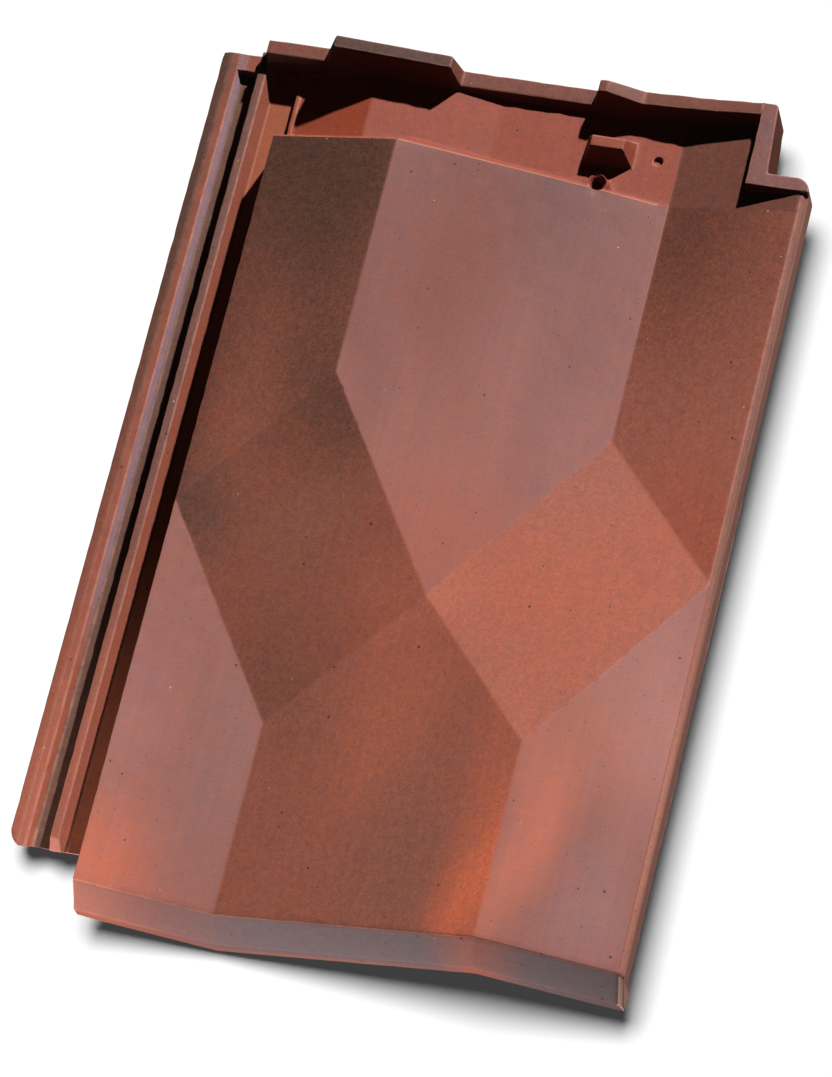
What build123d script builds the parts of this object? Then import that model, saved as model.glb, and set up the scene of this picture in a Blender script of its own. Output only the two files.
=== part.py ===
"""Interlocking clay roof tile with a folded diamond face, one fired piece.

Tile frame while modelling: X across the tile with 0 on the centre line of the face, Y up the
slope with 0 at the lower (nose) edge of the face, Z out of the roof with 0 at the mean level
of the folded face. The finished solid is moved so that the origin is under its middle, on the
plane that the two hanging nibs touch. Millimetres throughout.
"""
from build123d import *
from math import radians, tan
import os

# Folded face
face_w = 250.0  # visible face, side to side
face_l = 373.5  # nose edge to head step
fold_h = 16.0  # ridge above, and valley below, the mean level
fold_nose_y = 93.0  # where the nose folds end
fold_mid_y = 160.0  # middle crossing of the folds
fold_side_y = 187.0  # where the folds reach the side edges
shell_t = 11.0  # vertical thickness of the shell
overlap = 1.0  # joined bodies run this far into each other, and cuts this far past the body

# Nose
nose_run = 9.8  # the sloping nose face reaches this far past the face edge
nose_drop = 14.0
nose_land = 9.0  # upright band under the sloping face
nose_round = 1.2  # rounded lower edge of the band
nose_lip = 9.0  # depth of the lip behind the band
nose_heel = 5.0  # the lip runs up to the shell over this length

# Side lock on the left, which the neighbouring tile covers
lock_w = 40.0  # from the side of the face to the outer edge
lock_start_y = 17.0  # lower end, short of the nose
lock_end_slope = 5.5  # the bar slopes down to the lower end over this length
lock_head_gap = 3.0  # the lock ends this far short of the head
lock_corner_r = 9.0  # rounded lower outer corner
lock_undercut = 5.0  # the lower end leans in by this much at the bottom
rim_top_z = -20.0  # outer rim
rim_w = 9.3
rim_fall = 0.8  # the outer half of the rim falls by this much
water_z = -25.0  # floor of the outer channel
water_w = 9.0
water_stop_l = 9.5  # block that closes the outer channel at the head
bar_top_z = -14.5  # bar between the channels
bar_w = 4.6
cover_z = -24.0  # floor of the inner channel
lock_bottom_z = -32.0
rim_draft = 1.6  # slope of the rim's inner flank
bar_draft_out = 0.5  # slopes of the bar's flanks
bar_draft_in = 2.4
web_w = 10.0  # wall under the side of the face
foot_bevel = 3.0  # lower outer edge of the lock

# Cover side on the right, which lies over the neighbour's lock
edge_chamfer = 2.3
cover_w = 3.0  # reach past the face edge
edge_land = 2.0  # slope under the chamfer
lip_bottom_z = -17.0
lip_w = 9.0
lip_round = 1.0
groove_draft = 1.0  # the groove between lip and rib narrows upwards
play = 1.2  # room left around the neighbour's lock
lay_gap = 2.0  # gap between two laid faces

# Head
head_l = 51.5  # from the step to the head edge
rib_w = 6.3  # top width of the head rib
rib_draft = 0.18  # run per unit of height on the rib's lower face
rib_lock_z = -7.0  # top of the rib over the lock
rib_low_z = -11.0  # and in the dip between the blocks
rib_block = ((-105.5, 8.0), (-49.5, 3.0))  # top of the left block, x and z
rib_block_ramp = 5.8  # its left end leans over this length
rib_hump = ((20.5, 1.0), (24.5, 1.5))  # top of the right block
rib_saddle = ((41.5, -5.0), (77.0, -2.0))  # and its fall and rise towards the side rib
rib_ramp = 3.0  # the blocks rise from the dip over this length
floor_left_z = -22.0
floor_fold_x = -86.0
floor_fold_z = -9.0
floor_flat_x = -25.0
ridge_h = 2.0  # low ridge along the left border of the head floor
ridge_w = 2.5
ridge_foot = 1.5
ridge_l = 31.5
step_slope = 64.0  # slope of the step from the face down to the head floor, degrees
step_sink = 2.0  # the step's foot runs this far into the floor plate
notch_x = 107.4  # the head corner is cut away right of this
notch_l = 35.0  # length of the cut
notch_draft = 2.1  # the cut's long side leans by this much
side_rib_w = 9.5
side_rib_z = 1.0
cross_rib_w = 7.0
corner_cut = 1.2  # cut across the head's right corner
corner_round = 7.0  # rounded outer corner under the notch

# Nail hole, lug and mark on the head floor
nail_x = 28.0
nail_up = 4.0  # above the step, as are the next two
nail_d = 5.0
nail_sink_d = 9.0
nail_boss_d = 13.0
nail_boss_z = -10.5
nail_boss_draft = 12.0
lug_x = 29.5
lug_up = 23.0
lug_top_z = -5.0
lug_top = (16.0, 5.6)
lug_foot = (25.0, 15.0)
mark_x = 52.4
mark_up = 22.0
mark_d = 4.0
mark_depth = 2.0
floor_sink = 2.0  # lug and boss run this far into the floor plate

# Underside
nib_bottom_z = -42.0
nib_xs = (-72.0, 72.0)
nib_w = 34.0
nib_l = 27.0  # from the head edge to the side that hangs on the batten
nib_t = 15.0
nib_draft = 3.0
stop_rib_y = 56.0  # cross rib above the head rib of the tile below
stop_rib_w = 7.0
stop_rib_drop = 6.0

half_w = face_w / 2
fold_x = face_w / 4
fold_head_y = fold_mid_y + fold_side_y - fold_nose_y
lock_x = -half_w - lock_w
edge_x = half_w + cover_w
lip_in_x = edge_x - lip_w
valley_slope = fold_h / fold_x
lay_w = face_w + cover_w + lay_gap  # distance between neighbours
head_y = face_l + head_l
lock_end_y = head_y - lock_head_gap
notch_y = head_y - notch_l
nail_y = face_l + nail_up
lug_y = face_l + lug_up
mark_y = face_l + mark_up
nib_y = head_y - nib_l
rim_in_x = lock_x + rim_w
water_l_x = rim_in_x + rim_draft
water_r_x = water_l_x + water_w
bar_l_x = water_r_x + bar_draft_out
bar_r_x = bar_l_x + bar_w
cover_l_x = bar_r_x + bar_draft_in
rib_l = lay_w + water_l_x + play
rib_r = lay_w + water_r_x - play
rib_z = water_z + play


def face_z(x):
    """Level of the folded face in its head zone: a ridge at -fold_x and a valley at fold_x."""
    if abs(x) <= fold_x:
        return -x * valley_slope
    return (-1 if x > 0 else 1) * (half_w - abs(x)) * valley_slope


def head_floor_z(x):
    """Level of the recessed floor above the step."""
    for (xa, za), (xb, zb) in zip(head_floor, head_floor[1:]):
        if xa <= x <= xb:
            return za + (zb - za) * (x - xa) / (xb - xa)


head_floor = [
    (-half_w, floor_left_z),
    (floor_fold_x, floor_fold_z),
    (floor_flat_x, -fold_h),
    (fold_x, -fold_h),
    (half_w, 0),
]


def facet(*corners):
    """A planar piece of the face, as thick as the shell."""
    extrude(Face(Wire.make_polygon(corners)), amount=shell_t, dir=(0, 0, -1))


def span(sections):
    """A body through upright YZ sections, each given as x and its list of (y, z) corners."""
    faces = [Face(Wire.make_polygon([(x, y, z) for y, z in corners])) for x, corners in sections]
    for first, second in zip(faces, faces[1:]):
        loft([first, second], ruled=True)


def along(corners, y0, y1, mode=Mode.ADD):
    """An XZ profile run up the slope from y0 to y1."""
    with BuildSketch(Plane.XZ.offset(-y0)) as profile:
        with BuildLine():
            Polyline(*corners, close=True)
        make_face()
    extrude(profile.sketch, amount=y0 - y1, mode=mode)


def folded_face():
    left, right, quarter = -half_w, half_w, fold_x
    v1, v2 = (-quarter, fold_head_y, fold_h), (quarter, fold_head_y, -fold_h)
    v3, v4 = (-quarter, fold_nose_y, -fold_h), (quarter, fold_nose_y, fold_h)
    mid, side_l, side_r = (0, fold_mid_y, 0), (left, fold_side_y, 0), (right, fold_side_y, 0)
    top_l, top_r = (left, face_l, 0), (right, face_l, 0)
    t1, t2 = (-quarter, face_l, fold_h), (quarter, face_l, -fold_h)
    low_l, low_r = (left, 0, 0), (right, 0, 0)
    n1, n2 = (-quarter, 0, -fold_h), (quarter, 0, fold_h)
    facet(side_l, v1, t1, top_l)
    facet(v1, mid, v2, t2, t1)
    facet(v2, side_r, top_r, t2)
    facet(side_l, v3, mid, v1)
    facet(mid, v4, side_r, v2)
    facet(low_l, n1, v3, side_l)
    facet(n1, n2, v4, mid, v3)
    facet(n2, low_r, side_r, v4)


def nose():
    def section(x, level, fall=0):
        lip_z = level - nose_drop - nose_land
        return (x, [
            (0, level - fall),
            (-nose_run, level - nose_drop - fall),
            (-nose_run, lip_z + nose_round),
            (nose_round - nose_run, lip_z),
            (nose_lip - nose_run, lip_z),
            (nose_lip - nose_run + nose_heel, level - shell_t),
            (nose_lip, level - shell_t / 2),
        ])

    span([
        section(-half_w, 0),
        section(-fold_x, -fold_h),
        section(fold_x, fold_h),
        section(half_w, 0),
        section(half_w + edge_chamfer, 0, edge_chamfer),
        section(edge_x, 0, edge_chamfer + edge_land),
    ])


def side_lock():
    """The left lock: rim, outer channel, bar and inner channel, with the web under the face."""
    web_r = -half_w + web_w
    along([
        (lock_x, lock_bottom_z + foot_bevel),
        (lock_x, rim_top_z - rim_fall),
        (lock_x + rim_w / 2, rim_top_z),
        (rim_in_x, rim_top_z),
        (water_l_x, water_z),
        (water_r_x, water_z),
        (bar_l_x, bar_top_z),
        (bar_r_x, bar_top_z),
        (cover_l_x, cover_z),
        (web_r, cover_z),
        (web_r, lock_bottom_z),
        (lock_x + foot_bevel, lock_bottom_z),
    ], lock_start_y, lock_end_y)
    along([
        (-half_w, cover_z - overlap),
        (-half_w, -shell_t / 2),
        (web_r, -shell_t / 2),
        (web_r, cover_z - overlap),
    ], lock_start_y, face_l)
    along([
        (rim_in_x - overlap, water_z - overlap),
        (rim_in_x - overlap, rim_top_z),
        (bar_r_x, rim_top_z),
        (bar_r_x, water_z - overlap),
    ], lock_end_y - water_stop_l, lock_end_y)
    lock_lower_end()


def lock_lower_end():
    """The lower end leans in under its upper edge, and its outer corner is rounded."""
    past_bar = overlap * lock_end_slope / (bar_top_z - rim_top_z)
    with BuildSketch(Plane.YZ.offset(lock_x - overlap)) as wedge:
        with BuildLine():
            Polyline(
                (lock_start_y + lock_end_slope + past_bar, bar_top_z + overlap),
                (lock_start_y, rim_top_z),
                (lock_start_y + lock_undercut, lock_bottom_z),
                (lock_start_y - overlap, lock_bottom_z),
                (lock_start_y - overlap, bar_top_z + overlap),
                close=True,
            )
        make_face()
    extrude(wedge.sketch, amount=lock_w + overlap, mode=Mode.SUBTRACT)
    with BuildSketch(Plane.XY.offset(lock_bottom_z)) as corner:
        with Locations((lock_x, lock_start_y)):
            Rectangle(lock_corner_r, lock_corner_r, align=(Align.MIN, Align.MIN))
        with Locations((lock_x + lock_corner_r, lock_start_y + lock_corner_r)):
            Circle(lock_corner_r, mode=Mode.SUBTRACT)
    extrude(corner.sketch, amount=rim_top_z - lock_bottom_z, mode=Mode.SUBTRACT)


def cover_side():
    """The right edge and, under it, the lip and the rib that drop over the neighbour's lock."""
    along([
        (rib_l, face_z(rib_l) - shell_t / 2),
        (half_w, 0),
        (half_w + edge_chamfer, -edge_chamfer),
        (edge_x, -edge_chamfer - edge_land),
        (edge_x, lip_bottom_z + lip_round),
        (edge_x - lip_round, lip_bottom_z),
        (rib_r, lip_bottom_z),
        (rib_r, rib_z),
        (rib_l, rib_z),
    ], 0, head_y)


def cover_groove():
    """Room for the neighbour's bar between the rib and the lip, clear along the whole length."""
    under_bar_z = bar_top_z + play
    along([
        (rib_r, rib_z - overlap),
        (rib_r + groove_draft, under_bar_z),
        (lip_in_x - groove_draft, under_bar_z),
        (lip_in_x, lip_bottom_z),
        (lip_in_x, rib_z - overlap),
    ], 0, head_y, Mode.SUBTRACT)


def head_plate():
    """The recessed floor above the step, its low left ridge, and the sloping step."""
    under = [(x, z - shell_t) for x, z in reversed(head_floor)]
    along(head_floor + under, face_l - overlap, head_y)
    ridge_z = floor_left_z + ridge_h
    foot_x = ridge_w + ridge_foot - half_w
    along([
        (-half_w, floor_left_z - floor_sink),
        (-half_w, ridge_z),
        (ridge_w - half_w, ridge_z),
        (foot_x, head_floor_z(foot_x) - overlap),
    ], face_l, face_l + ridge_l)
    run = 1 / tan(radians(step_slope))
    sections = []
    for x in (-half_w, floor_fold_x, -fold_x, floor_flat_x, fold_x):
        foot_z = head_floor_z(x) - step_sink
        drop = face_z(x) - foot_z
        sections.append((x, [
            (face_l - overlap, face_z(x)),
            (face_l, face_z(x)),
            (face_l + drop * run, foot_z),
            (face_l - overlap, foot_z),
        ]))
    span(sections)


def head_rib():
    """The stepped rib along the head, with its lower face drafted."""
    def section(x, top_z):
        base_z = -fold_h - shell_t
        front_y = head_y - rib_w - rib_draft * max(0, -top_z)
        return (x, [
            (head_y, base_z),
            (head_y, top_z),
            (front_y, top_z),
            (front_y - rib_draft * (top_z - base_z), base_z),
        ])

    for steps in rib_steps:
        span([section(x, z) for x, z in steps])


def side_rib():
    """The rib down the head's right side, with the cross rib out to the edge at its lower end."""
    inner_x = notch_x - side_rib_w
    base_z = face_z(inner_x) - shell_t / 2
    with BuildSketch(Plane.XY.offset(base_z)) as plan:
        with Locations((inner_x, head_y)):
            Rectangle(side_rib_w, notch_l + cross_rib_w, align=(Align.MIN, Align.MAX))
        with Locations((inner_x, notch_y)):
            Rectangle(edge_x - inner_x, cross_rib_w, align=(Align.MIN, Align.MAX))
    extrude(plan.sketch, amount=side_rib_z - base_z)


def head_notch():
    """The head's right corner cut away, where the next tile's lock passes."""
    low_z = lock_bottom_z
    far_x = edge_x + overlap
    far_y = head_y + overlap
    with BuildSketch(Plane.XY.offset(low_z)) as plan:
        with BuildLine():
            arc = CenterArc((edge_x - corner_round, notch_y - corner_round), corner_round, 0, 90)
            Polyline(
                arc @ 1,
                (notch_x, notch_y),
                (notch_x - notch_draft, head_y - corner_cut),
                (notch_x - notch_draft - corner_cut, head_y),
                (notch_x - notch_draft - corner_cut, far_y),
                (far_x, far_y),
                (far_x, notch_y - corner_round),
                arc @ 0,
            )
        make_face()
    extrude(plan.sketch, amount=side_rib_z + overlap - low_z, mode=Mode.SUBTRACT)


def lug():
    foot_z = -fold_h - floor_sink
    with BuildSketch(Plane.XY.offset(foot_z)) as foot:
        with Locations((lug_x, lug_y)):
            Rectangle(*lug_foot)
    with BuildSketch(Plane.XY.offset(lug_top_z)) as top:
        with Locations((lug_x, lug_y)):
            Rectangle(*lug_top)
    loft([foot.sketch, top.sketch], ruled=True)


def nail_boss():
    base_z = -fold_h - floor_sink
    with BuildSketch(Plane.XY.offset(base_z)) as foot:
        with Locations((nail_x, nail_y)):
            Circle(nail_boss_d / 2)
    extrude(foot.sketch, amount=nail_boss_z - base_z, taper=nail_boss_draft)


def nibs():
    """Two nibs that hang on the roof batten."""
    root_z = -fold_h - shell_t / 2
    for x in nib_xs:
        along([
            (x - nib_w / 2, nib_bottom_z),
            (x + nib_w / 2, nib_bottom_z),
            (x + nib_w / 2 + nib_draft, root_z),
            (x - nib_w / 2 - nib_draft, root_z),
        ], nib_y, nib_y + nib_t)


def under_ribs():
    """The cross rib above the nose, hidden below the shell."""
    def section(x, level):
        top_z = level - shell_t / 2
        low_z = level - shell_t - stop_rib_drop
        return (x, [
            (stop_rib_y, top_z),
            (stop_rib_y, low_z),
            (stop_rib_y + stop_rib_w, low_z),
            (stop_rib_y + stop_rib_w, top_z),
        ])

    span([
        section(-half_w + web_w, -web_w * valley_slope),
        section(-fold_x, -fold_h),
        section(fold_x, fold_h),
        section(lip_in_x, (half_w - lip_in_x) * valley_slope),
    ])


block_foot = (rib_block[0][0] - rib_block_ramp, rib_lock_z)
dip_l = (rib_block[1][0] + rib_ramp, rib_low_z)
dip_r = (rib_hump[0][0] - rib_ramp, rib_low_z)
rib_steps = [  # top of the head rib as (x, z), each run a step of its own
    [(bar_r_x - overlap, rib_lock_z), block_foot],
    [block_foot, *rib_block, dip_l],
    [dip_l, dip_r],
    [dip_r, *rib_hump, *rib_saddle, (notch_x - side_rib_w + overlap, side_rib_z)],
]

with BuildPart() as tile:
    folded_face()
    nose()
    side_lock()
    cover_side()
    head_plate()
    head_rib()
    side_rib()
    head_notch()
    lug()
    nail_boss()
    nibs()
    under_ribs()
    cover_groove()
    with Locations(Location((nail_x, nail_y, nail_boss_z))):
        CounterSinkHole(nail_d / 2, nail_sink_d / 2)
    with Locations(Location((mark_x, mark_y, -fold_h))):
        Hole(mark_d / 2, depth=mark_depth)

middle = Location((-(lock_x + edge_x) / 2, (nose_run - head_y) / 2, -nib_bottom_z))
roof_tile = tile.part.moved(middle)
roof_tile.label = "roof_tile"
os.makedirs("parts", exist_ok=True)
export_step(roof_tile, "parts/roof_tile.step")
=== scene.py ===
"""Interlocking clay roof tile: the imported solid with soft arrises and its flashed, kiln-fired surface."""
from math import radians

import bmesh
import bpy
from mathutils import Euler, Matrix, Vector, noise
from mathutils.bvhtree import BVHTree


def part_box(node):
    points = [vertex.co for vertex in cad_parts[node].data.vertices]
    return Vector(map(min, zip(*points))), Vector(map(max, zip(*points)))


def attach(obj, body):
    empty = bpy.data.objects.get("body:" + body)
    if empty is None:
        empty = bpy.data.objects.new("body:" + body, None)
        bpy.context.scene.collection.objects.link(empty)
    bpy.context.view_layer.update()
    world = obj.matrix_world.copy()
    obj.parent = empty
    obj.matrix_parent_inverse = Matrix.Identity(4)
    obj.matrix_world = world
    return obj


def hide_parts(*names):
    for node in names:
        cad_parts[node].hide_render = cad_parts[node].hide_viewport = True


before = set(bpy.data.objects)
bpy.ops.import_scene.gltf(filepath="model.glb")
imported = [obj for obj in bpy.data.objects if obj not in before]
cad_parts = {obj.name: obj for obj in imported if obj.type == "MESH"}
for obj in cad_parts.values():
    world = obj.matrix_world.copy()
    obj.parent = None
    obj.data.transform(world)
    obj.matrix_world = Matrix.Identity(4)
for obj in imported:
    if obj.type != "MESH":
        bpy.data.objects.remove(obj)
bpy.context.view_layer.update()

MM = 0.001

# Places are named in the tile's own frame, in millimetres: X across with 0 on the middle of the face,
# Y up the slope with 0 at the lower edge of the face, Z out of the roof with 0 at the face's mean level.
tile_low, tile_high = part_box("roof_tile")
LOCK_EDGE_X = -165.0
NOSE_Y = -9.8
NIB_TIP_Z = -42.0
TILE_ORIGIN = tile_low - MM * Vector((LOCK_EDGE_X, NOSE_Y, NIB_TIP_Z))

EDGE_X = 128.0
HEAD_Y = 425.0
FACE_WIDTH = 250.0
FACE_LENGTH = 373.5
FOLD_RISE = 16.0
NOSE_FOLD_Y = 93.0
MID_Y = 160.0
SIDE_Y = 187.0
HEAD_FOLD_Y = 254.0

# Relief of the fired surface, in millimetres and degrees
WELD = 0.02  # vertices nearer than this become one
FLAT_BEND = 0.6  # faces that meet at less than this become one
SHARP_BEND = 9.0  # edges that bend by more than this are rounded
ARRIS = 0.8  # reach of the rounding on each side of an edge
OFF_SURFACE = 0.36  # a rounded vertex farther off than this goes back to the solid
CUT_PITCH = 5.0
CUT_SHIFT = 0.37  # share of a step by which the cuts keep off the folds
SLIVER_CORNER = (-154.5, 24.0, -19.5)  # the rounded end of the lock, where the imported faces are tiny
SLIVER_WELD = 0.9
SLIVER_AREA = 0.25
NAIL = (28.0, 377.5)
NAIL_BOSS = (3.0, 9.0)  # radii between which the boss is too slight for a rounded arris
NAIL_LAND = (4.3, 5.5, -11.0)  # radii and lowest level of the boss's narrow flat ring
STEP_END = (60.6, 373.5)  # where the head step runs out to nothing
STEP_END_REACH = 3.6
STEP_END_LEVEL = -18.0
RUBBED_AND_HIGHLIT_BEND = (12.6, 30.6)  # bends at which an arris starts to be rubbed and painted with a highlight, and is fully so
# Depth, size and seed of the unevenness, and the level of the noise below which nothing is chipped off
WARP, WARP_SIZE = 0.25, 85.0
DENTS, DENT_SIZE, DENT_SEED = 0.08, 11.0, Vector((7, 3, 1))
CHIPS, CHIP_SIZE, CHIP_SEED, CHIP_LEVEL = 0.9, 5.0, Vector((1, 9, 4)), 0.1

# Camera, solved from the corners of the folded face
CAMERA_AIM = (-10.74, 185.87, 0.0)
CAMERA_DISTANCE = 3011.7
CAMERA_AZIMUTH = 33.02
CAMERA_ELEVATION = 64.881
CAMERA_ROLL = -21.346
CAMERA_NEAREST = 100.0
CAMERA_FARTHEST = 20000.0
LENS_MM = 289.82
SENSOR_MM = 36.0

# Light, with sizes in millimetres and degrees
KEY_PLACE = (500.0, 1500.0, 1000.0)
KEY_RADIUS = 26.0
KEY_POWER = 51.0
FLOOR_SUN_STRENGTH = 3.45
FLOOR_SUN_WIDTH = 30.0
FLOOR_SUN_WAY = (0.05, -0.13, -1.0)
LOW_STRIP_PLACE = (-60.0, -140.0, -30.0)
LOW_STRIP_LENGTH = 420.0
LOW_STRIP_HEIGHT = 12.0
LOW_STRIP_POWER = 0.5
GUTTER_SPOT_PLACE = (-168.0, -330.0, 165.0)
GUTTER_SPOT_AIM = (-135.0, 30.0, -24.0)
GUTTER_SPOT_CONE = 14.0
GUTTER_SPOT_RADIUS = 20.0
GUTTER_SPOT_POWER = 4.0
AMBIENT = 0.01

FLOOR_HALF = 3000.0
PAPER = "#f8f8f8"
PAPER_BOUNCE = "#383838"  # what the tile gets back from the paper
PAPER_SHADOW = 0.035  # light left in the deepest shadow

# Sockets of a Mix node that mixes colours
MIX_UNDER, MIX_OVER, MIX_RESULT = 6, 7, 2


def place(x, y, z):
    """A point of the tile's own frame, in metres in the shared frame."""
    return TILE_ORIGIN + MM * Vector((x, y, z))


def in_tile(point):
    """A point of the shared frame, in millimetres in the tile's own frame."""
    return (point - TILE_ORIGIN) / MM


def linear(hex_colour):
    """An sRGB hex colour as linear RGBA."""
    channels = [int(hex_colour[i:i + 2], 16) / 255 for i in (1, 3, 5)]
    return [c / 12.92 if c <= 0.04045 else ((c + 0.055) / 1.055) ** 2.4 for c in channels] + [1.0]


def add(tree, kind, inputs=None, **settings):
    """Adds a node with its settings. Each input, by name or number, takes a value or a link."""
    node = tree.nodes.new(kind)
    for name, value in settings.items():
        setattr(node, name, value)
    for name, value in (inputs or {}).items():
        if isinstance(value, bpy.types.NodeSocket):
            tree.links.new(value, node.inputs[name])
        else:
            node.inputs[name].default_value = value
    return node


def new_material(name):
    """A material without nodes."""
    material = bpy.data.materials.new(name)
    material.use_nodes = True
    material.node_tree.nodes.clear()
    return material


def make_camera():
    """The camera of the photograph."""
    data = bpy.data.cameras.new("camera")
    data.sensor_fit = "HORIZONTAL"
    data.sensor_width = SENSOR_MM
    data.lens = LENS_MM
    data.clip_start = CAMERA_NEAREST * MM
    data.clip_end = CAMERA_FARTHEST * MM
    camera = bpy.data.objects.new("camera", data)
    turn = Euler((radians(90 - CAMERA_ELEVATION), 0, radians(CAMERA_AZIMUTH)), "XYZ").to_matrix()
    back = turn @ Vector((0, 0, 1))
    camera.location = place(*CAMERA_AIM) + back * CAMERA_DISTANCE * MM
    camera.rotation_euler = (turn @ Matrix.Rotation(radians(CAMERA_ROLL), 3, "Z")).to_euler()
    bpy.context.scene.collection.objects.link(camera)
    bpy.context.scene.camera = camera


def in_linear(rows):
    """The rows with their colour, the last but one value, turned from sRGB hex to linear."""
    return [(*row[:-2], linear(row[-2])[:3], row[-1]) for row in rows]


# Patches of the face, one set for the facets turned to the left and one for those turned to the right, both
# darker
# towards the head: middle and reach across and up the face, colour, strength
LEFT_GROUND = linear("#ad634f")[:3]
LEFT_TURNED = in_linear((
    ((-112, 372), (150, 175), "#5f3c2e", 1.0),
    ((-72, 345), (46, 90), "#5f3d2e", 0.8),
    ((75, 375), (100, 150), "#733e2f", 1.0),
    ((60, 165), (115, 95), "#ba6046", 1.0),
    ((-62, 252), (60, 70), "#7c4c3c", 1.0),
    ((-118, 182), (36, 50), "#7f5a4d", 0.7),
    ((-62, 108), (46, 44), "#9a5d4b", 0.7),
    ((-66, 178), (40, 46), "#a86955", 0.7),
    ((-10, 158), (46, 34), "#c16c54", 1.0),
    ((-2, 98), (42, 66), "#c06b52", 0.9),
    ((26, 28), (34, 92), "#a26351", 0.9),
    ((58, 22), (24, 112), "#ea7753", 1.0),
    ((110, 215), (60, 60), "#b65d45", 0.8),
    ((-128, 240), (28, 150), "#7a4739", 0.8),
))
# Mauve-grey ground and patches of the facets turned to the right: painted sheen of the key on the facets that
# face it
RIGHT_SHEEN_GROUND = linear("#a7665a")[:3]
RIGHT_TURNED_SHEEN = in_linear((
    ((0, 372), (110, 130), "#80504b", 1.0),
    ((-22, 318), (42, 110), "#8f4b3b", 0.9),
    ((42, 300), (36, 130), "#935a53", 0.9),
    ((-54, 300), (20, 120), "#8c5148", 0.9),
    ((0, 190), (70, 72), "#b4624f", 1.0),
    ((50, 246), (30, 40), "#aa6a60", 0.8),
    ((-118, 8), (60, 62), "#cb6c52", 1.0),
    ((-122, 84), (30, 60), "#b3736a", 0.8),
    ((-76, 70), (30, 110), "#a46c63", 0.8),
    ((69, 50), (24, 115), "#dc7b61", 0.9),
    ((92, 112), (30, 60), "#c87963", 0.8),
    ((108, 26), (34, 56), "#b17770", 1.0),
    ((118, 120), (44, 90), "#c88479", 0.9),
))
# How far the edges of the patches stray, and over what length, in wide and in narrow waves
WIDE_STRAY, WIDE_WAVE = 22.0, 75.0
NARROW_STRAY, NARROW_WAVE = 2.5, 24.0
STRAY_SEED = 3  # noise_vector starts from a random place if it isn't seeded
# The facets turned away from the key keep the full swing of mottle and grain: painted shade of the grain
# under grazing light.
LIT_FACET_SMOOTHING = 0.7  # share of the unevenness that the facets turned to the right have lost

# Parts outside the face: low and high corner, softness, colour, strength
FAR = 900.0
ZONES = in_linear((
    # side lock, its low end, its head end, its floors
    ((-FAR, -FAR, -FAR), (-125, FAR, FAR), (1, 1, 1), "#ab604b", 1.0),
    ((-FAR, -FAR, -FAR), (-125, 110, FAR), (1, 160, 1), "#c06b55", 1.0),
    ((-FAR, 230, -FAR), (-125, FAR, FAR), (1, 240, 1), "#6c483b", 1.0),
    ((-FAR, -FAR, -FAR), (-125, FAR, -22.5), (1, 1, 1), "#b85f3f", 0.8),
    # outer channel; its floor, darkened as painted shade in the deep channel; and the mauve strip on the
    # rim's flank, a painted highlight where the flank faces the key
    ((-159, -FAR, -FAR), (-145, FAR, -20), (1, 1, 1), "#b05c45", 0.7),
    ((-156.5, -FAR, -FAR), (-145, FAR, -23.4), (0.6, 1, 0.6), "#6b4c40", 0.9),
    ((-155.9, 130, -24.6), (-153.6, FAR, -20.3), (0.5, 70, 0.5), "#a58189", 1.0),
    # bar: top at the head end, top at the low end, flank
    ((-143.5, 130, -15.3), (-140.4, FAR, 0), (0.6, 200, 0.6), "#86584d", 0.9),
    ((-143.5, -FAR, -16), (-136, 70, 0), (0.6, 120, 0.6), "#a35b46", 1.0),
    ((-140.4, -FAR, -23), (-131, FAR, 0), (0.6, 1, 1), "#b5624c", 0.75),
    # head: floor, its left part, its right part, tops of the ribs, tall block, side rib, and the arris of the
    # face at its head edge, lighter as a painted highlight where the light from the head falls on it
    ((-125, 372.0, -FAR), (FAR, FAR, FAR), (1, 2, 2), "#a5523e", 1.0),
    ((-125, 374, -FAR), (-86, FAR, -4), (1, 2, 2), "#ac4f33", 1.0),
    ((62, 374, -FAR), (FAR, FAR, 0), (2, 2, 2), "#7c4738", 1.0),
    ((-140, 416, -FAR), (FAR, FAR, FAR), (2, 1, 2), "#864f40", 1.0),
    ((-112, 416, 0), (-46, FAR, FAR), (2, 1, 2), "#63423a", 1.0),
    ((98, 374, -0.5), (FAR, FAR, FAR), (2, 2, 1), "#8c5a53", 1.0),
    ((-62, 371.2, -15.5), (62, 376, 20), (3, 1, 2), "#b96a53", 1.0),
    # nose
    ((-126, -FAR, -FAR), (FAR, -0.6, FAR), (2, 1, 2), "#6b5152", 1.0),
    # cover side: chamfer, its low end, upright side; their light pink is a painted highlight of the key on
    # faces turned toward it, lighter towards the low end
    ((125.4, 0, -FAR), (FAR, 385, FAR), (0.6, 1, 1), "#a06e61", 1.0),
    ((125.4, 0, -FAR), (FAR, 160, FAR), (0.6, 200, 1), "#d28a75", 1.0),
    ((127.4, 0, -FAR), (FAR, 385, FAR), (0.4, 1, 1), "#cf9080", 0.8),
))
LONG_FADE = 20.0  # softness up the slope from which a zone fades within a face
NOSE_TOP_Y = -0.6
NOSE_LEFT_X = -126.0
NOSE_SPOTS = in_linear((
    ((-128, -4), (96, 80), "#984e3b", 1.0),
    ((64, -4), (27, 80), "#9e5344", 1.0),
))
NOSE_STRAY = 0.2  # share of the stray that these spots take
# Painted highlight on the nose's right corner, where the chamfer turns down, and from where across it is laid
NOSE_CORNER_HIGHLIGHT, NOSE_CORNER_X = linear("#ecb3a0")[:3], 125.6
# The rubbed band along the nose's foot: colour, strength, depth and softness, middle and reach across
NOSE_BAND, NOSE_BAND_STRENGTH = linear("#9c5c49")[:3], 0.7
NOSE_BAND_DEPTH, NOSE_BAND_SOFT = 18.6, 2.0
NOSE_BAND_X, NOSE_BAND_REACH, NOSE_BAND_FULL = -12.0, 80.0, 1.2


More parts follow.
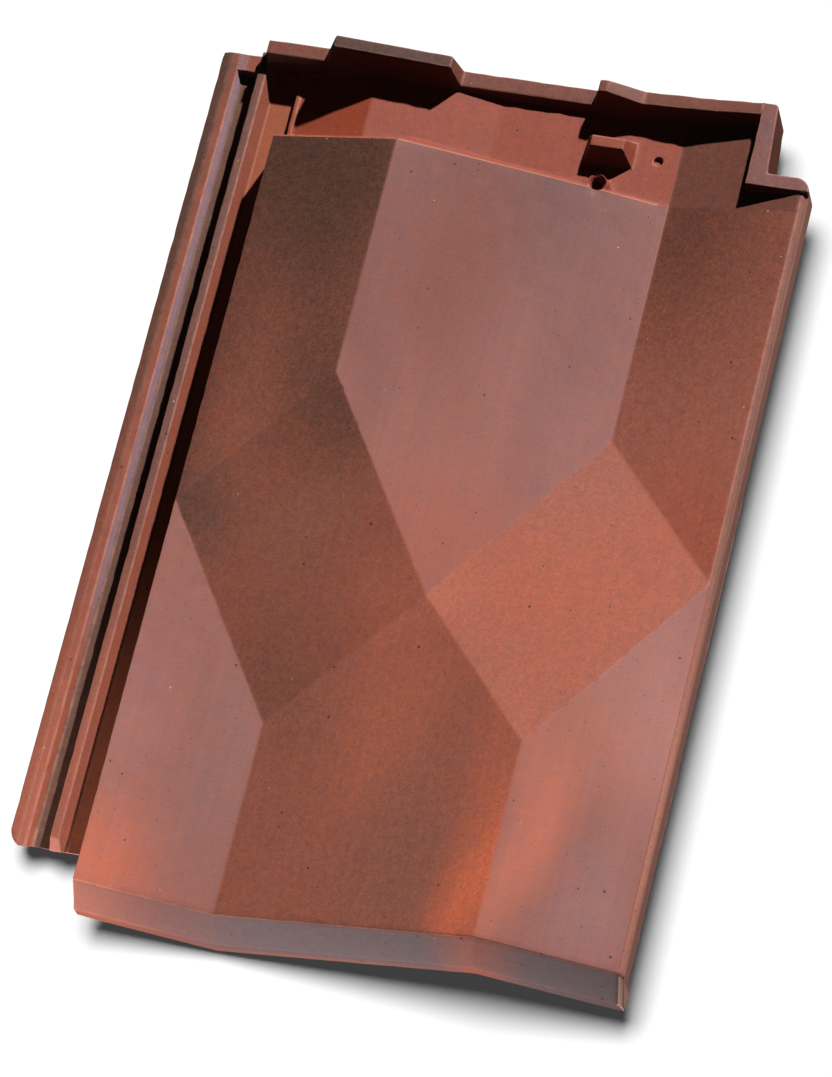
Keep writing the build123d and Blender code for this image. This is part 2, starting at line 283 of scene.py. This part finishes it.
def blend(under, over, amount):
    """The colour under another one, with that much of the other one laid over it."""
    return [a + (b - a) * amount for a, b in zip(under, over)]


def ease(share):
    """The share held between 0 and 1, with a soft start and end."""
    share = min(max(share, 0), 1)
    return share * share * (3 - 2 * share)


def spotted(at, ground, spots):
    """The ground colour with soft elliptical spots laid over it one after the other."""
    colour = ground
    for (x, y), (reach_x, reach_y), over, strength in spots:
        away = (((at.x - x) / reach_x) ** 2 + ((at.y - y) / reach_y) ** 2) ** 0.5
        if away < 1:
            colour = blend(colour, over, ease(1 - away) * strength)
    return colour


def inside(at, low, high, soft):
    """1 inside a box, falling off softly at its sides."""
    share = 1.0
    for value, a, b, width in zip(at, low, high, soft):
        share *= min(max((value - a) / width + 0.5, 0), 1) * min(max((b - value) / width + 0.5, 0), 1)
    return ease(share)


def nose_line(x):
    """The height of the nose's upper edge, which is folded up on the right and down on the left."""
    rise = min(abs(x), FACE_WIDTH / 2 - abs(x)) * FOLD_RISE / (FACE_WIDTH / 4)
    return rise if x > 0 else -rise


def flash_and_painted_light_colour(at, middle, turned):
    """The large-scale colour at a place, for a facet with the given middle, with its painted sheen,
    highlights and shade.
    """
    stray = at + WIDE_STRAY * noise.noise_vector(at / WIDE_WAVE)
    stray += NARROW_STRAY * noise.noise_vector(at / NARROW_WAVE)
    left = spotted(stray, LEFT_GROUND, LEFT_TURNED)
    right = spotted(stray, RIGHT_SHEEN_GROUND, RIGHT_TURNED_SHEEN)
    colour = blend(left, right, turned)
    for low, high, soft, over, strength in ZONES:
        along = Vector((middle.x, at.y if soft[1] > LONG_FADE else middle.y, middle.z))
        colour = blend(colour, over, inside(along, low, high, soft) * strength)
    if middle.y < NOSE_TOP_Y and middle.x > NOSE_LEFT_X:
        # The nose's right corner is a flat painted highlight
        if middle.x > NOSE_CORNER_X:
            return NOSE_CORNER_HIGHLIGHT
        colour = spotted(Vector((at.x + NOSE_STRAY * (stray.x - at.x), at.y, at.z)), colour, NOSE_SPOTS)
        below = ease((nose_line(at.x) - at.z - NOSE_BAND_DEPTH) / NOSE_BAND_SOFT + 0.5)
        across = ease(NOSE_BAND_FULL - abs(at.x - NOSE_BAND_X) / NOSE_BAND_REACH)
        colour = blend(colour, NOSE_BAND, below * NOSE_BAND_STRENGTH * across)
    return colour


def facing(x, y):
    """1 on the facets of the face that fall to the right, 0 on the others, between them off the face."""
    a = abs(x)
    if a > FACE_WIDTH / 2 or not -11 < y < FACE_LENGTH + 2:
        return 0.5
    fold = FACE_WIDTH / 4
    if a < fold:
        low, high = MID_Y - (MID_Y - NOSE_FOLD_Y) * a / fold, MID_Y + (HEAD_FOLD_Y - MID_Y) * a / fold
    else:
        share = (a - fold) / fold
        low = NOSE_FOLD_Y + (SIDE_Y - NOSE_FOLD_Y) * share
        high = HEAD_FOLD_Y + (SIDE_Y - HEAD_FOLD_Y) * share
    if low < y < high:
        return 0.0
    return float(a < fold) if y >= high else float(a > fold)


def cut(mesh, at, normal):
    """Cuts the whole mesh by a plane and keeps both sides."""
    parts = mesh.verts[:] + mesh.edges[:] + mesh.faces[:]
    bmesh.ops.bisect_plane(mesh, geom=parts, dist=1e-7, plane_co=at, plane_no=normal)


def cut_across(mesh, axis, low, high):
    """Cuts the whole mesh by level planes across one axis, so that it can take the slight warp."""
    normal = Vector([1.0 if i == axis else 0.0 for i in range(3)])
    for step in range(1, int((high - low) / CUT_PITCH) + 1):
        at = place(0, 0, 0)
        at[axis] += MM * (low + (step - CUT_SHIFT) * CUT_PITCH)
        cut(mesh, at, normal)


def sharp_edges(mesh):
    """The edges to round: none on the slight nail boss, where the head step runs out, or next to slivers."""
    sharp = []
    for edge in mesh.edges:
        if not edge.is_manifold or abs(edge.calc_face_angle_signed(0)) < radians(SHARP_BEND):
            continue
        middle = in_tile((edge.verts[0].co + edge.verts[1].co) / 2)
        on_boss = NAIL_BOSS[0] < (middle.xy - Vector(NAIL)).length < NAIL_BOSS[1]
        at_step_end = (middle.xy - Vector(STEP_END)).length < STEP_END_REACH and middle.z > STEP_END_LEVEL
        smallest = min(face.calc_area() for face in edge.link_faces)
        if not on_boss and not at_step_end and smallest > SLIVER_AREA * MM * MM:
            sharp.append(edge)
    return sharp


def round_arrises(mesh):
    """Rounds the sharp edges, and marks the rounded faces and how far each vertex stands out as an arris."""
    solid = BVHTree.FromBMesh(mesh)
    bmesh.ops.remove_doubles(mesh, verts=mesh.verts, dist=WELD * MM)
    bmesh.ops.dissolve_limit(mesh, angle_limit=radians(FLAT_BEND), verts=mesh.verts, edges=mesh.edges)
    slivers = [v for v in mesh.verts if all(a < b for a, b in zip(v.co, place(*SLIVER_CORNER)))]
    bmesh.ops.remove_doubles(mesh, verts=slivers, dist=SLIVER_WELD * MM)
    cut(mesh, place(STEP_END[0] - STEP_END_REACH, 0, 0), (1, 0, 0))
    sharp = sharp_edges(mesh)
    rounded = mesh.faces.layers.int.new("rounded")
    arrises = bmesh.ops.bevel(
        mesh, geom=sharp, offset=ARRIS * MM, offset_type="OFFSET", segments=2, profile=0.5,
        affect="EDGES", clamp_overlap=False, miter_outer="SHARP", miter_inner="SHARP",
    )
    for face in arrises["faces"]:
        face[rounded] = 1
    bmesh.ops.remove_doubles(mesh, verts=mesh.verts, dist=WELD * MM)
    for vert in mesh.verts:
        near, _, _, gap = solid.find_nearest(vert.co)
        if gap > OFF_SURFACE * MM:
            vert.co = near
    arris = mesh.verts.layers.float.new("arris")
    starts, full = (radians(bend) for bend in RUBBED_AND_HIGHLIT_BEND)
    for vert in mesh.verts:
        bends = [edge.calc_face_angle_signed(0) for edge in vert.link_edges if edge.is_manifold]
        vert[arris] = ease((max(bends, default=0) - starts) / (full - starts))


def wear(mesh):
    """Lets the surface in a little everywhere, as warp, dents, and chips off the arrises."""
    arris = mesh.verts.layers.float["arris"]
    mesh.normal_update()
    moves = []
    for vert in mesh.verts:
        at = in_tile(vert.co)
        warp = 0.5 + 0.5 * noise.noise(at / WARP_SIZE)
        dents = 0.5 + 0.5 * noise.noise(at / DENT_SIZE + DENT_SEED)
        chips = max(noise.noise(at / CHIP_SIZE + CHIP_SEED) - CHIP_LEVEL, 0) * vert[arris]
        moves.append(WARP * warp + DENTS * dents + CHIPS * chips)
    for vert, move in zip(mesh.verts, moves):
        vert.co -= vert.normal * move * MM
        for axis in range(3):
            vert.co[axis] = min(max(vert.co[axis], tile_low[axis]), tile_high[axis])


def colour_corners(mesh):
    """Gives each corner of a face its colour with painted light, how uneven it shows there, and how rubbed
    and highlit it is.
    """
    rounded = mesh.faces.layers.int["rounded"]
    arris = mesh.verts.layers.float["arris"]
    flash_and_painted_light = mesh.loops.layers.float_color.new("flash_and_painted_light")
    rubbed_and_highlit = mesh.loops.layers.float.new("rubbed_and_highlit")
    low, high, level = NAIL_LAND
    noise.seed_set(STRAY_SEED)
    for face in mesh.faces:
        middle = in_tile(face.calc_center_bounds())
        turned = facing(middle.x, middle.y)
        smooth = 1.0 if middle.y < NOSE_TOP_Y else turned
        if low < (middle.xy - Vector(NAIL)).length < high and middle.z > level:
            face[rounded] = 1
        for corner in face.loops:
            colour = flash_and_painted_light_colour(in_tile(corner.vert.co), middle, turned)
            corner[flash_and_painted_light] = (*colour, 1 - LIT_FACET_SMOOTHING * smooth)
            corner[rubbed_and_highlit] = face[rounded] * corner.vert[arris]


def make_tile():
    """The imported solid's faces with rounded arrises, warped a little and chipped as pressed clay is."""
    mesh = bmesh.new()
    mesh.from_mesh(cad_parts["roof_tile"].data)
    round_arrises(mesh)
    cut_across(mesh, 0, LOCK_EDGE_X, EDGE_X)
    cut_across(mesh, 1, NOSE_Y, HEAD_Y)
    wear(mesh)
    colour_corners(mesh)
    bmesh.ops.triangulate(mesh, faces=mesh.faces[:])
    for face in mesh.faces:
        face.smooth = True
    data = bpy.data.meshes.new("tile_body")
    mesh.to_mesh(data)
    mesh.free()
    tile = bpy.data.objects.new("tile_body", data)
    bpy.context.scene.collection.objects.link(tile)
    tile.modifiers.new("weighted_normals", "WEIGHTED_NORMAL").weight = 50
    tile.visible_diffuse = False  # the floor's shadow stays free of the tile's own colour
    return tile


def make_clay():
    """Fired clay tile, extruded, pressed in a mould and kiln-flashed: an orange-red body, dark brown in soft
    patches and darker towards the head, with a painted mauve-grey sheen on the facets turned toward the key,
    a fine grain of temper that swings more on the facets turned away as painted shade, drag lines along the
    length, dark iron specks, a few white lime specks, and arrises rubbed to the lighter body with a painted
    highlight along them."""
    clay = new_material("fired_clay_flashed_with_painted_light")
    tree = clay.node_tree
    here = add(tree, "ShaderNodeTexCoord")
    in_mm = add(tree, "ShaderNodeVectorMath", {0: here.outputs["Object"], "Scale": 1 / MM}, operation="SCALE")
    at = add(tree, "ShaderNodeVectorMath", {0: in_mm.outputs[0], 1: TILE_ORIGIN / MM}, operation="SUBTRACT")
    flash_and_painted_light = add(tree, "ShaderNodeAttribute", attribute_name="flash_and_painted_light")
    body = flash_and_painted_light.outputs["Color"]

    # Size in millimetres across, up the slope and out, levels of detail, and roughness.
    # The temper's grit is under half a millimetre: its grain is drawn coarser, so that it shows.
    patterns = {}
    for name, size, detail, roughness in (
        ("mottle", (2.4, 3, 2.4), 4.0, 0.65),
        ("grain", (1, 1, 1), 2.0, 0.7),
        ("drag lines", (3.5, 160, 3.5), 3.0, 0.6),
        ("wipe marks", (9, 0.8, 9), 2.0, 0.6),
        ("clouds", (6, 8, 6), 3.0, 0.6),
        ("rubbing_and_highlight", (7, 7, 7), 3.0, 0.6),
    ):
        sized = add(tree, "ShaderNodeVectorMath", {0: at.outputs[0], 1: size}, operation="DIVIDE")
        patterns[name] = add(tree, "ShaderNodeTexNoise", {
            "Vector": sized.outputs[0], "Scale": 1.0, "Detail": detail, "Roughness": roughness,
        }).outputs[0]

    # Mottle and grain swing more on the darker clay and on the facets turned away from the key: partly the
    # clay's own unevenness, partly painted shade of the grain under grazing light
    red = add(tree, "ShaderNodeSeparateColor", {0: body})
    dark = add(tree, "ShaderNodeMapRange", {
        "Value": red.outputs[0], "From Min": 0.1, "From Max": 0.45, "To Min": 1.2, "To Max": 0.5,
    })
    uneven_and_grazing_shade = add(
        tree, "ShaderNodeMath", {0: dark.outputs[0], 1: flash_and_painted_light.outputs["Alpha"]}, operation="MULTIPLY"
    )
    for name, low, high, swing, share in (
        ("mottle", 0.35, 0.65, 0.17, uneven_and_grazing_shade.outputs[0]),
        ("grain", 0.3, 0.7, 0.27, uneven_and_grazing_shade.outputs[0]),
        ("drag lines", 0.35, 0.65, 0.03, 1.0),
        ("wipe marks", 0.35, 0.65, 0.022, 1.0),
    ):
        level = add(tree, "ShaderNodeMapRange", {
            "Value": patterns[name], "From Min": low, "From Max": high, "To Min": -swing, "To Max": swing,
        })
        level = add(tree, "ShaderNodeMath", {0: level.outputs[0], 1: share, 2: 1.0}, operation="MULTIPLY_ADD")
        body = add(
            tree, "ShaderNodeVectorMath", {0: body, "Scale": level.outputs[0]}, operation="SCALE"
        ).outputs[0]

    # Clouds of slightly bluer and redder clay
    redder = add(tree, "ShaderNodeMapRange", {
        "Value": patterns["clouds"], "From Min": 0.35, "From Max": 0.65,
    })
    tint = add(tree, "ShaderNodeMix", {
        "Factor": redder.outputs[0],
        MIX_UNDER: (0.955, 1.0, 1.07, 1.0), MIX_OVER: (1.045, 1.0, 0.93, 1.0),
    }, data_type="RGBA")
    body = add(
        tree, "ShaderNodeVectorMath", {0: body, 1: tint.outputs[MIX_RESULT]}, operation="MULTIPLY"
    ).outputs[0]

    # Iron specks, small and large, and lime specks: cell size and largest radius in millimetres,
    # share of the cells that hold one, colour and strength
    covers = []
    for cell, radius, share, colour, strength in (
        (3.4, 0.42, 0.6, "#4a2c25", 0.5),
        (9.0, 0.75, 0.5, "#3a2622", 0.75),
        (11.0, 0.5, 0.5, "#d9b9a4", 0.7),
    ):
        size = (cell, cell, cell)
        sized = add(tree, "ShaderNodeVectorMath", {0: at.outputs[0], 1: size}, operation="DIVIDE")
        cells = add(tree, "ShaderNodeTexVoronoi", {"Vector": sized.outputs[0], "Scale": 1.0})
        chance = add(tree, "ShaderNodeSeparateColor", {0: cells.outputs["Color"]})
        chosen = add(tree, "ShaderNodeMath", {0: chance.outputs[0], 1: share}, operation="LESS_THAN")
        reach = add(tree, "ShaderNodeMapRange", {
            "Value": chance.outputs[1], "To Min": 0.5 * radius / cell, "To Max": radius / cell,
        })
        near = add(
            tree, "ShaderNodeMath", {0: cells.outputs["Distance"], 1: reach.outputs[0]}, operation="LESS_THAN"
        )
        speck = add(tree, "ShaderNodeMath", {0: near.outputs[0], 1: chosen.outputs[0]}, operation="MULTIPLY")
        covers.append((speck, colour, strength))

    # Arrises lightened in places: rubbed to the lighter body, and a painted highlight along the edge
    arris = add(tree, "ShaderNodeAttribute", attribute_name="rubbed_and_highlit")
    worn_and_highlit = add(tree, "ShaderNodeMapRange", {
        "Value": patterns["rubbing_and_highlight"], "From Min": 0.4, "From Max": 0.6, "To Min": 0.25, "To Max": 0.8,
    })
    rubbed_and_highlit = add(tree, "ShaderNodeMath", {0: arris.outputs["Fac"], 1: worn_and_highlit.outputs[0]}, operation="MULTIPLY")
    covers.append((rubbed_and_highlit, "#cf8d7a", 0.65))

    for mask, colour, strength in covers:
        amount = add(tree, "ShaderNodeMath", {0: mask.outputs[0], 1: strength}, operation="MULTIPLY")
        body = add(tree, "ShaderNodeMix", {
            "Factor": amount.outputs[0], MIX_UNDER: body, MIX_OVER: linear(colour),
        }, data_type="RGBA").outputs[MIX_RESULT]

    bump = add(tree, "ShaderNodeBump", {"Height": patterns["grain"], "Strength": 0.6, "Distance": 0.08 * MM})
    surface = add(tree, "ShaderNodeBsdfPrincipled", {
        "Base Color": body, "Normal": bump.outputs[0], "Roughness": 0.62, "IOR": 1.45,
    })
    add(tree, "ShaderNodeOutputMaterial", {"Surface": surface.outputs[0]})
    return clay


def make_floor():
    """Matt white paper: even white with a soft grey shadow to the camera, and dim to the tile."""
    data = bpy.data.meshes.new("floor")
    half = FLOOR_HALF * MM
    corners = [(-half, -half, 0), (half, -half, 0), (half, half, 0), (-half, half, 0)]
    data.from_pydata(corners, [], [(0, 1, 2, 3)])
    floor = bpy.data.objects.new("floor", data)
    bpy.context.scene.collection.objects.link(floor)
    paper = new_material("white_paper_sweep")
    tree = paper.node_tree
    lit = add(tree, "ShaderNodeBsdfDiffuse", {"Color": linear(PAPER)})
    shade = add(tree, "ShaderNodeEmission", {"Color": (1, 1, 1, 1), "Strength": PAPER_SHADOW})
    seen = add(tree, "ShaderNodeAddShader", {0: lit.outputs[0], 1: shade.outputs[0]})
    bounce = add(tree, "ShaderNodeBsdfDiffuse", {"Color": linear(PAPER_BOUNCE)})
    path = add(tree, "ShaderNodeLightPath")
    mix = add(tree, "ShaderNodeMixShader", {
        0: path.outputs["Is Camera Ray"], 1: bounce.outputs[0], 2: seen.outputs[0],
    })
    add(tree, "ShaderNodeOutputMaterial", {"Surface": mix.outputs[0]})
    data.materials.append(paper)
    return floor


def make_lights(tile, floor):
    """A small hard key from beyond the head's right corner, a low strip in front of the nose, a spot on the
    low end of the side lock, and a wide lamp that only lights the floor."""
    spot_way = Vector(GUTTER_SPOT_AIM) - Vector(GUTTER_SPOT_PLACE)
    for name, kind, power, at, way, lit, settings in (
        ("key", "POINT", KEY_POWER, KEY_PLACE, (0, 0, -1), tile, {"shadow_soft_size": KEY_RADIUS * MM}),
        ("low_strip", "AREA", LOW_STRIP_POWER, LOW_STRIP_PLACE, (0, 1, 0), tile, {
            "shape": "RECTANGLE", "size": LOW_STRIP_LENGTH * MM, "size_y": LOW_STRIP_HEIGHT * MM,
        }),
        ("gutter_spot", "SPOT", GUTTER_SPOT_POWER, GUTTER_SPOT_PLACE, spot_way, tile, {
            "shadow_soft_size": GUTTER_SPOT_RADIUS * MM, "spot_size": radians(GUTTER_SPOT_CONE),
            "spot_blend": 1.0,
        }),
        ("floor_sun", "SUN", FLOOR_SUN_STRENGTH, (0, 0, 0), FLOOR_SUN_WAY, floor, {
            "angle": radians(FLOOR_SUN_WIDTH),
        }),
    ):
        data = bpy.data.lights.new(name, kind)
        data.energy = power
        for key, value in settings.items():
            setattr(data, key, value)
        light = bpy.data.objects.new(name, data)
        light.location = place(*at)
        light.rotation_euler = Vector(way).to_track_quat("-Z", "Y").to_euler()
        bpy.context.scene.collection.objects.link(light)
        receivers = bpy.data.collections.new("lit_by_" + name)
        receivers.objects.link(lit)
        light.light_linking.receiver_collection = receivers
    bpy.data.objects["low_strip"].visible_camera = False

    # The key is as strong at the nose as at the head
    key = bpy.data.lights["key"]
    key.use_nodes = True
    tree = key.node_tree
    falloff = add(tree, "ShaderNodeLightFalloff", {"Strength": 1.0})
    tree.links.new(falloff.outputs["Constant"], tree.nodes["Emission"].inputs["Strength"])


def make_world():
    """A studio that is white to the camera and nearly dark to the tile."""
    world = bpy.data.worlds.new("studio")
    bpy.context.scene.world = world
    world.use_nodes = True
    tree = world.node_tree
    tree.nodes.clear()
    path = add(tree, "ShaderNodeLightPath")
    dim = add(tree, "ShaderNodeBackground", {"Color": (1, 1, 1, 1), "Strength": AMBIENT})
    white = add(tree, "ShaderNodeBackground", {"Color": (1, 1, 1, 1), "Strength": 1.0})
    mix = add(tree, "ShaderNodeMixShader", {
        0: path.outputs["Is Camera Ray"], 1: dim.outputs[0], 2: white.outputs[0],
    })
    add(tree, "ShaderNodeOutputWorld", {"Surface": mix.outputs[0]})


bpy.context.scene.view_settings.view_transform = "Standard"
make_camera()
tile = make_tile()
tile.data.materials.append(make_clay())
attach(tile, "root")
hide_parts("roof_tile")
make_lights(tile, make_floor())
make_world()
